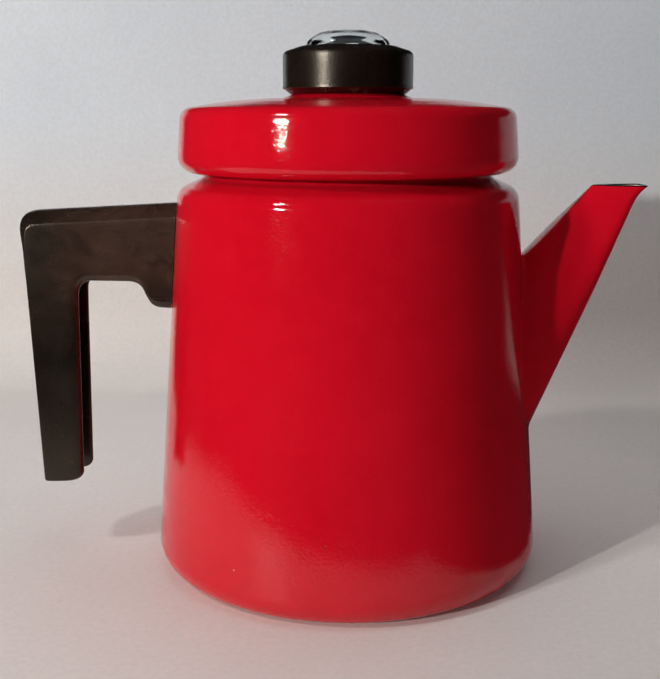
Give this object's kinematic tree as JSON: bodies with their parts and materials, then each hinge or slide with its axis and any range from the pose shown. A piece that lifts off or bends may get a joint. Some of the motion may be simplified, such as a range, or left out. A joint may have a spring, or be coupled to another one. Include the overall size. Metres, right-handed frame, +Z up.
{
  "type": "stovetop percolator coffee pot",
  "caption": "Tapered enamelled stovetop percolator with a lift-off lid and glass sight dome, a hollow side handle, a long spout and a lift-out pump with coffee basket.",
  "frame": {"origin": "centre of the flat base on the plane it stands on, on the pot's axis", "axes": "+Z up the pot's axis, +X towards the spout, -X towards the handle"},
  "size_m": [0.2378, 0.1484, 0.2024],
  "materials": {
    "red_enamel": "high gloss vitreous enamel",
    "bakelite": "black-brown phenolic, semi-gloss, slightly mottled",
    "sight_glass": "clear",
    "seal_rubber": "matt",
    "aluminium": "satin, brushed",
    "steel": "satin",
    "brass": "satin"
  },
  "bodies": {
    "pot": {"body_shell": "red_enamel", "spout": "red_enamel", "handle_grip": "bakelite", "handle_insert": "brass", "handle_bracket": "steel", "handle_washer": "steel", "handle_screw": "steel"},
    "pump": {"pump_bell": "aluminium", "riser_tube": "aluminium", "basket_stop_ring": "aluminium"},
    "basket": {"coffee_basket": "aluminium", "basket_sleeve": "aluminium"},
    "spreader": {"basket_spreader": "aluminium"},
    "lid": {"lid_shell": "red_enamel", "lid_collar": "red_enamel", "knob_collar": "bakelite", "glass_dome": "sight_glass", "dome_gasket": "seal_rubber", "dome_lock_ring": "aluminium"}
  },
  "joints": [
    {"name": "pump_lift", "type": "slide", "parent": "pot", "child": "pump", "axis": [0, 0, 1], "range_m": [0, 0.16]},
    {"name": "basket_lift", "type": "slide", "parent": "pump", "child": "basket", "axis": [0, 0, 1], "range_m": [0, 0.1]},
    {"name": "spreader_lift", "type": "slide", "parent": "basket", "child": "spreader", "axis": [0, 0, 1], "range_m": [0, 0.055]},
    {"name": "lid_lift", "type": "slide", "parent": "spreader", "child": "lid", "axis": [0, 0, 1], "range_m": [0, 0.06]}
  ]
}
